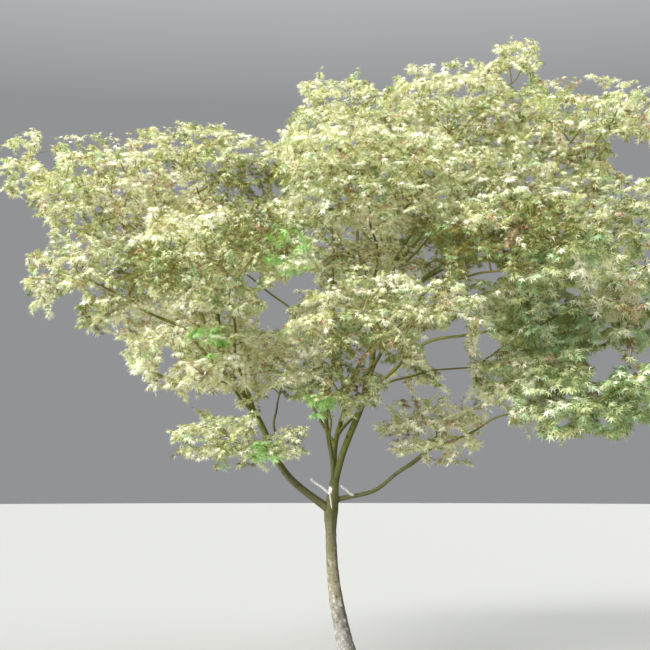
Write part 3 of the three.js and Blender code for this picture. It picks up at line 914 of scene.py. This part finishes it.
def in_opening(points, ragged=1.0):
    """Which of the points appear in one of the openings."""
    middles, halves = np.array(OPENINGS).swapaxes(0, 1)
    across = in_plane(points)[:, None] - middles
    angle = np.arctan2(across[..., 1], across[..., 0]) + RIM_TURN * middles.sum(axis=1)
    rim = 1 + sum(height * np.sin(waves * angle) for waves, height in RIM_WAVES)
    return (norm(across / halves) < rim * ragged).any(axis=1)


def ragged_rim(count, draw):
    """How large the openings are for each of so many points."""
    return 1 + RAGGED * (draw.random(count)[:, None] - 0.5)


# %% [markdown]
# Shoots
#
# A shoot is one season's twig. Its end is dealt out by a sequence that fills the space evenly,
# and it grows from the nearest wood that it needn't turn back for: the frame's rule, carried on
# to hundreds of shoots a mass. Each shoot arches a little, and the ends gather in shallow domes,
# which gives this tree its tiers.

# %% Shoot rule
SPREAD_STEPS = np.array((0.8191725134, 0.6710436067, 0.5497004779))
STEM_SHARE = 0.42
STEM_FORKS = (0.35, 0.65, 0.96)
SHOOT_FORKS = (0.3, 0.55, 0.8)
SHOOT_REACH = (0.3, 1.05)  # how far out the ends lie, over the space's half sizes
SHOOT_ROOM = 0.05  # how far a shoot may reach out of its mass's space
TURN_COST = 0.55
SHOOTS_PER_AREA = 1320  # for each square metre of the space's half width by half depth
TIER_HEIGHT = 0.2
TIER_SPREAD = 0.66  # how much of its height within a tier a shoot keeps
TIER_FALL = 0.3  # how steeply a tier falls away from its mass's middle
ARCH = 0.09
FOLLOW = 0.16  # how far a shoot carries on with its parent, over its length
SHOOT_POINTS = 5
SHARES = np.linspace(0, 1, SHOOT_POINTS)  # how far along the shoot each point lies


def near_frame(points, room):
    """Which points lie in the box of the solids, or at most some room outside it."""
    low, high = (np.array(corner) for corner in cad_box)
    return ((points > low - room) & (points < high + room)).all(axis=-1)


def shoot_ends(mass, count):
    """Where shoots are to end, evenly through the space and gathered in tiers."""
    number = np.arange(1, count + 1)[:, None]
    turn, rise, depth = ((mass.seed * np.array((1, 2, 3)) + number * SPREAD_STEPS) % 1).T
    level = 1 - 2 * rise
    flat = np.sqrt(1 - level**2)
    ways = np.stack([flat * np.cos(2 * np.pi * turn), flat * np.sin(2 * np.pi * turn), level], axis=1)
    low, high = SHOOT_REACH
    out = low + (high - low) * np.sqrt(depth)
    ways /= np.linalg.norm(ways, FULLNESS, axis=1, keepdims=True)
    ends = mass.centre + out[:, None] * ways * mass.half
    aside = norm((ends - mass.centre)[:, :2])
    tier = (ends[:, 2] - mass.centre[2] + TIER_FALL * aside) / TIER_HEIGHT + mass.seed
    ends[:, 2] -= TIER_HEIGHT * (1 - TIER_SPREAD) * (tier - np.round(tier))
    inside = mass.holds(ends, SHOOT_ROOM) & near_frame(ends, SHOOT_ROOM)
    return ends[inside & ~in_opening(ends, ragged_rim(count, mass.draw()))]


class Shoots:
    """The wood of one mass: a stem that carries on from its limb, and shoots that fork off."""

    def __init__(self, mass):
        root = mass.limb.at(1)
        stem_end = root + STEM_SHARE * mass.half[0] * mass.limb.along(1)
        self.lines = [root + SHARES[:, None] * (stem_end - root)]
        self.parents = [(-1, 0)]
        self.places, self.alongs, self.owners = [], [], []
        self.add_forks(0, STEM_FORKS)
        area = mass.half[0] * mass.half[1]
        for end in shoot_ends(mass, round(SHOOTS_PER_AREA * area)):
            self.grow(end)

    def add_forks(self, index, shares):
        line = self.lines[index]
        for share in shares:
            spot = share * (SHOOT_POINTS - 1)
            k = min(int(spot), SHOOT_POINTS - 2)
            step = line[k + 1] - line[k]
            self.places.append(line[k] + (spot - k) * step)
            self.alongs.append(unit(step))
            self.owners.append((index, share))

    def grow(self, end):
        """Adds a shoot: off with its parent, up a little, then over to its end."""
        ways = end - np.array(self.places)
        lengths = norm(ways)
        ahead = (ways * np.array(self.alongs)).sum(axis=1) / np.maximum(lengths, 1e-6)
        best = int(np.argmin(lengths * (1 + TURN_COST * (1 - ahead))))
        start, along = self.places[best], self.alongs[best]
        bend = (start + end) / 2 + np.linalg.norm(end - start) * (FOLLOW * along + ARCH * UP)
        line = arc(start, bend, end, SHARES[:, None])
        if in_opening(line[1:]).any():
            return
        self.lines.append(line)
        self.parents.append(self.owners[best])
        self.add_forks(len(self.lines) - 1, SHOOT_FORKS)


GROWN = [Shoots(mass) for mass in CROWN]
print("shoots", sum(len(shoots.lines) for shoots in GROWN))

# %% [markdown]
# How thick a shoot is
#
# A stem is about as thick as everything that it feeds, taken together. So the radius at a point
# comes from the number of shoot tips beyond it, which gives fine tips and sturdy stems.

# %% Shoot radii
TIP_RADIUS = 0.0011
FEED_POWER = 0.42


def shoot_radii(shoots, stem_radius):
    """The radius at each point of each shoot."""
    count = len(shoots.lines)
    beyond = np.ones((count, SHOOT_POINTS))
    for index in range(count - 1, 0, -1):
        parent, share = shoots.parents[index]
        beyond[parent] += beyond[index, 0] * (SHARES <= share)
    return np.minimum(TIP_RADIUS * beyond**FEED_POWER, stem_radius)


# %% [markdown]
# Twigs as arrays
#
# Thousands of small tubes would be slow as separate objects, so all the twigs of a mass are
# one mesh, whose corners are worked out together and handed to Blender in one call.


# %% Twig meshes
TWIG_SIDES = 3
THICK_SIDES = 6
THICK = 0.0035  # from this radius on a shoot is drawn with more sides
TIP_LIMIT = 1.001 * TIP_RADIUS  # up to this radius it feeds no other, and has fewer rings
OFF_UPRIGHT = 0.13  # no twig lies along UP with this added


def tube_arrays(lines, radii, sides):
    """Corners and four-sided faces of tubes along many lines at once."""
    count, rings, _ = lines.shape
    tangents = unit(np.gradient(lines, axis=1))
    aside = unit(np.cross(tangents, UP + OFF_UPRIGHT))[..., None, :]
    over = np.cross(tangents, aside[..., 0, :])[..., None, :]
    angles = (2 * np.pi * np.arange(sides) / sides)[:, None]
    out = np.cos(angles) * aside + np.sin(angles) * over
    corners = lines[:, :, None, :] + radii[..., None, None] * out
    grid = np.arange(count * rings * sides).reshape(count, rings, sides)
    after = np.roll(grid, -1, axis=2)
    faces = np.stack([grid[:, :-1], after[:, :-1], after[:, 1:], grid[:, 1:]], axis=-1)
    return corners.reshape(-1, 3), faces.reshape(-1, 4)


def mesh_from(name, corners, faces, tints=None):
    """A mesh from arrays of corners and of faces that all have the same number of sides."""
    mesh = bpy.data.meshes.new(name)
    mesh.vertices.add(len(corners))
    mesh.vertices.foreach_set("co", corners.astype(np.float32).ravel())
    mesh.loops.add(faces.size)
    mesh.loops.foreach_set("vertex_index", faces.astype(np.int32).ravel())
    mesh.polygons.add(len(faces))
    mesh.polygons.foreach_set("loop_start", np.arange(len(faces), dtype=np.int32) * faces.shape[1])
    if tints is not None:
        mesh.polygons.foreach_set("material_index", tints.astype(np.int32))
    mesh.update()
    mesh.validate()
    return mesh


def twigs_piece(mass, shoots):
    lines = np.array(shoots.lines)
    radii = shoot_radii(shoots, float(mass.limb.radius(1)))
    thick = radii[:, 0] >= THICK
    ending = radii[:, 0] <= TIP_LIMIT
    fine = ~thick & ~ending
    corners, faces = zip(
        tube_arrays(lines[thick], radii[thick], THICK_SIDES),
        tube_arrays(lines[fine], radii[fine], TWIG_SIDES),
        tube_arrays(lines[ending, ::2], radii[ending, ::2], TWIG_SIDES),
    )
    starts = np.cumsum([0] + [len(one) for one in corners])
    faces = np.concatenate([one + start for one, start in zip(faces, starts)])
    mesh = mesh_from("twigs_" + mass.name, np.concatenate(corners), faces)
    piece = link_piece("twigs_" + mass.name, mesh, [TWIG], smooth=True)
    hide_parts("foliage_" + mass.name)
    return len(mesh.polygons)


print("twig faces", sum(twigs_piece(mass, shoots) for mass, shoots in zip(CROWN, GROWN)))

# %% [markdown]
# Leaves
#
# A leaf has five narrow pointed lobes that meet in a small palm, on a thin stalk, and the tips
# of its lobes bend down. It is six triangles: a long one for each lobe, which starts just behind
# the middle of the palm so that the five cover it together, and a thin one for the stalk.

# %% Leaf shape
# For each lobe its turn from straight ahead in degrees, its reach, and how far its tip drops
LEAF_LOBES = ((0, 0.94, 0.2), (44, 0.86, 0.22), (-44, 0.86, 0.22), (96, 0.6, 0.18), (-96, 0.6, 0.18))
LOBE_WIDTH = 0.27  # at the palm, over the leaf's length
PALM_BACK = 0.06
STALK = 0.4  # length of the stalk over the leaf's length
STALK_WIDTH = 0.03
STALK_RISE = 0.04


def leaf_template():
    """A leaf of length one about its palm, lying in X ahead and Y across, and its triangles."""
    corners = []
    for turn, reach, drop in LEAF_LOBES:
        turn = math.radians(turn)
        way = np.array((math.cos(turn), math.sin(turn), 0))
        side = LOBE_WIDTH / 2 * np.array((-way[1], way[0], 0))
        corners += [side - PALM_BACK * way, -side - PALM_BACK * way, reach * way - drop * UP]
    corners += [(-STALK, 0, STALK_RISE), (0, -STALK_WIDTH / 2, 0), (0, STALK_WIDTH / 2, 0)]
    return np.array(corners), np.arange(len(corners)).reshape(-1, 3)


LEAF_CORNERS, LEAF_FACES = leaf_template()
LEAF_SHIFT = -LEAF_CORNERS[-3]  # from the palm to the foot of the stalk
print("leaf of", len(LEAF_FACES), "triangles")

# %% [markdown]
# Where the leaves stand
#
# Leaves stand in pairs along a shoot, with one at its tip. Each pair is turned a little from
# the one before, and each blade points outwards and hangs. The droop, the roll and the size
# vary by a seeded random draw. Leaves at the lower right of the crown are larger, as in the
# photo. A leaf that would leave its space, or touch a limb, is left out.

# %% Leaf places
PAIR_STEP = 0.021  # between one pair and the next along the shoot
PAIR_JITTER = (0.85, 0.3)  # least share of the step, and how much more it may be
PAIRS = 8
BARE_FOOT = 0.95  # no pair stands further back than this share of the shoot
PAIR_ANGLE = math.radians(58)
TWIST = math.radians(35)
LEVELLED = (1, 1, 0.4)  # blades lie flatter than their headings
LEAF_LENGTH = (0.035, 0.05)
RIGHT_LENGTH = (0.05, 0.072)
DROOP = (-0.1, 0.85)  # how far a blade turns down
ROLL = math.radians(52)
LIMB_ROOM = 0.012
LEAF_ROOM = 0.06  # how far a leaf may lean out of its mass's space
FRAME_ROOM = 0.1  # and out of the whole tree's box
VIGOUR_ACROSS = (0.7, 1.7)  # the large leaves set in between these X
VIGOUR_DOWN = (3.75, 3.0)  # and between these heights
BLOCK = 2000  # so many leaves are compared with the limbs at once

LIMB_SHARES = np.linspace(0, 1, LINE_POINTS)[::6]
LIMB_POINTS = np.concatenate([limb.line[::6] for limb in LIMBS.values()])
LIMB_RADII = np.concatenate([limb.radius(LIMB_SHARES) for limb in LIMBS.values()])


def right_share(places):
    """How far a place belongs to the vigorous lower right of the crown, from 0 to 1."""
    x, _, z = places.T
    return smoothstep(x, *VIGOUR_ACROSS) * smoothstep(z, *VIGOUR_DOWN)


def leaf_places(lines, draw):
    """Feet and headings of all leaves: pairs back from each tip, and one at the tip."""
    ends = lines[:, -1]
    along = unit(lines[:, -1] - lines[:, -2])
    across = unit(np.cross(along, UP))
    lengths = step_lengths(lines).sum(axis=1)
    least, more = PAIR_JITTER
    feet, headings, owners = [ends], [along], [np.arange(len(lines))]
    for pair in range(1, PAIRS + 1):
        back = pair * PAIR_STEP * (least + more * draw.random(len(lines)))
        there = back < BARE_FOOT * lengths
        foot = ends - along * back[:, None]
        for side in (-1, 1):
            twist = TWIST * (2 * draw.random(len(lines)) - 1)[:, None]
            out = side * (np.cos(twist) * across + np.sin(twist) * np.cross(across, along))
            heading = math.cos(PAIR_ANGLE) * along + math.sin(PAIR_ANGLE) * out
            feet.append(foot[there])
            headings.append(heading[there])
            owners.append(np.flatnonzero(there))
    return np.concatenate(feet), np.concatenate(headings), np.concatenate(owners)


def leaf_frames(headings, draw):
    """For each leaf the directions ahead, across and up from its blade."""
    low, high = DROOP
    droop = UP * (low + (high - low) * draw.random(len(headings)))[:, None]
    ahead = unit(unit(headings * LEVELLED) - droop)
    level = unit(np.cross(UP, ahead))
    over = np.cross(ahead, level)
    roll = (ROLL * (2 * draw.random(len(ahead)) - 1))[:, None]
    across = np.cos(roll) * level + np.sin(roll) * over
    return ahead, across, np.cross(ahead, across)


def leaf_lengths(places, draw):
    right = right_share(places)[:, None]
    low, high = ((1 - right) * LEAF_LENGTH + right * RIGHT_LENGTH).T
    return low + (high - low) * draw.random(len(places))


def clear_of_limbs(points):
    """Which points lie clear of every limb."""
    clear = np.ones(len(points), bool)
    for start in range(0, len(points), BLOCK):
        block = points[start : start + BLOCK]
        near = norm(block[:, None] - LIMB_POINTS) - LIMB_RADII
        clear[start : start + BLOCK] = near.min(axis=1) > LIMB_ROOM
    return clear


# %% [markdown]
# Which tint goes where
#
# Each tint has its place: cream and pale yellow on the outside of the crown, grey-green and
# olive in the shade within, mint on the large leaves at the lower right, and here and there a
# blush of pink-brown. A shoot draws two tints by those odds, and each lobe takes the first or
# the second. A few shoots have reverted to a plain bright green, with larger leaves.

# %% Tints
REVERTED = (  # places of the reverted shoots, and how far round them they reach
    ((-0.48, -1.42, 3.14), 0.17),
    ((-1.06, -0.98, 2.58), 0.12),
    ((-0.2, -0.76, 2.07), 0.13),
    ((-0.68, -0.9, 1.75), 0.11),
)
REVERTED_SIZE = 1.7
THINNED = 0.2  # share of the leaves left out in the shaded patches
LIT = (0.35, 1.0)  # how far out in its mass a shoot sees the light
LIT_UPWARD = 0.45  # what its height within the mass adds to that
PATCH_RIM = (1.2, 0.6)  # a patch's odds set in between these, 1 being its ellipse
TINT_ODDS = {  # odds of cream, pale, grey-green, mint, green, olive and blush
    "outer": (0.42, 0.3, 0.14, 0.06, 0.02, 0.03, 0.03),
    "inner": (0.12, 0.24, 0.26, 0.06, 0.1, 0.16, 0.06),
    "right": (0.14, 0.14, 0.22, 0.36, 0.1, 0.03, 0.01),
    "shade": (0.0, 0.08, 0.2, 0.03, 0.25, 0.4, 0.04),
    "light": (0.56, 0.24, 0.06, 0.02, 0.01, 0.02, 0.09),
}
# The shade patches deal darker tints as painted shade, and the light patches paler tints as painted
# light, where the crown lies in shade or in light as seen from the camera.
TINT_PATCHES = {  # patches of these odds: the middle in the trunk's plane, and half sizes
    "shade": (
        ((-0.84, 3.95), (0.38, 0.2)),
        ((-1.62, 3.2), (0.3, 0.3)),
        ((0.66, 3.5), (0.3, 0.16)),
        ((-0.75, 3.52), (0.42, 0.2)),
        ((0.95, 3.34), (0.5, 0.24)),
        ((1.55, 3.6), (0.35, 0.25)),
        ((0.06, 2.5), (0.34, 0.18)),
    ),
    "light": (
        ((-0.62, 2.5), (0.36, 0.22)),
        ((0.15, 3.62), (0.3, 0.2)),
        ((2.1, 3.05), (0.35, 0.3)),
        ((-1.1, 2.34), (0.5, 0.26)),
        ((-1.5, 2.8), (0.5, 0.25)),
        ((0.7, 1.96), (0.66, 0.34)),
        ((-1.6, 3.8), (0.6, 0.25)),
    ),
}


def shoot_odds(mass, ends):
    """The odds of each tint for each shoot, by where it ends."""
    out = norm((ends - mass.centre) / mass.half)
    above = (ends[:, 2] - mass.centre[2]) / mass.half[2]
    lit = smoothstep(out + LIT_UPWARD * above, *LIT)[:, None]
    right = right_share(ends)[:, None]
    outer, inner, mint = (np.array(TINT_ODDS[place]) for place in ("outer", "inner", "right"))
    odds = (1 - right) * (lit * outer + (1 - lit) * inner) + right * mint
    for place, patches in TINT_PATCHES.items():
        for patch in patches:
            share = smoothstep(within(ends, *patch), *PATCH_RIM)[:, None]
            odds = (1 - share) * odds + share * np.array(TINT_ODDS[place])
    return odds


def thinned(points, draw):
    """Leaves left out where the crown is shaded, which lets the twigs show."""
    shaded = np.any([within(points, *patch) < 1 for patch in TINT_PATCHES["shade"]], axis=0)
    return shaded & (draw.random(len(points)) < THINNED)


def pick(odds, draw):
    """One tint for each row of odds."""
    ladder = np.cumsum(odds, axis=1) / odds.sum(axis=1, keepdims=True)
    return (draw.random(len(odds))[:, None] > ladder).sum(axis=1)


def reverted(ends):
    return np.any([norm(ends - place) < reach for place, reach in REVERTED], axis=0)


# %% [markdown]
# Leaves as arrays
#
# All leaves of a mass are one mesh: the leaf template, scaled and turned for each leaf and laid
# at its foot.

# %% Leaf meshes
VARIEGATION = 0.5  # mean odds that a lobe takes the shoot's second tint


def leaves_piece(mass, shoots):
    draw = mass.draw()
    lines = np.array(shoots.lines[1:])
    feet, headings, owners = leaf_places(lines, draw)
    ahead, across, over = leaf_frames(headings, draw)
    lengths = leaf_lengths(feet, draw)
    green = reverted(lines[:, -1])
    lengths = np.where(green[owners], REVERTED_SIZE * lengths, lengths)
    shape = LEAF_CORNERS + LEAF_SHIFT
    axes = np.stack([ahead, across, over], axis=1)
    corners = feet[:, None] + lengths[:, None, None] * (shape @ axes)
    middle = corners.mean(axis=1)
    keep = mass.holds(middle, LEAF_ROOM) & clear_of_limbs(middle)
    keep &= near_frame(corners, FRAME_ROOM).all(axis=1)
    keep &= ~in_opening(middle, ragged_rim(len(middle), draw)) & ~thinned(middle, draw)
    odds = shoot_odds(mass, lines[:, -1])
    first, second = pick(odds, draw), pick(odds, draw)
    own = owners[keep]
    count = len(own)
    shares = VARIEGATION * 2 * draw.random(count)[:, None]
    seconds = draw.random((count, len(LEAF_FACES))) < shares
    tints = np.where(seconds, second[own][:, None], first[own][:, None])
    tints[green[own]] = BRIGHT
    faces = LEAF_FACES + (len(LEAF_CORNERS) * np.arange(count))[:, None, None]
    name = "leaves_" + mass.name
    mesh = mesh_from(name, corners[keep].reshape(-1, 3), faces.reshape(-1, 3), tints.ravel())
    piece = link_piece(name, mesh, LEAVES)
    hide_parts("foliage_" + mass.name)
    return count


leaf_count = sum(leaves_piece(mass, shoots) for mass, shoots in zip(CROWN, GROWN))
print(leaf_count, "leaves,", leaf_count * len(LEAF_FACES), "triangles")
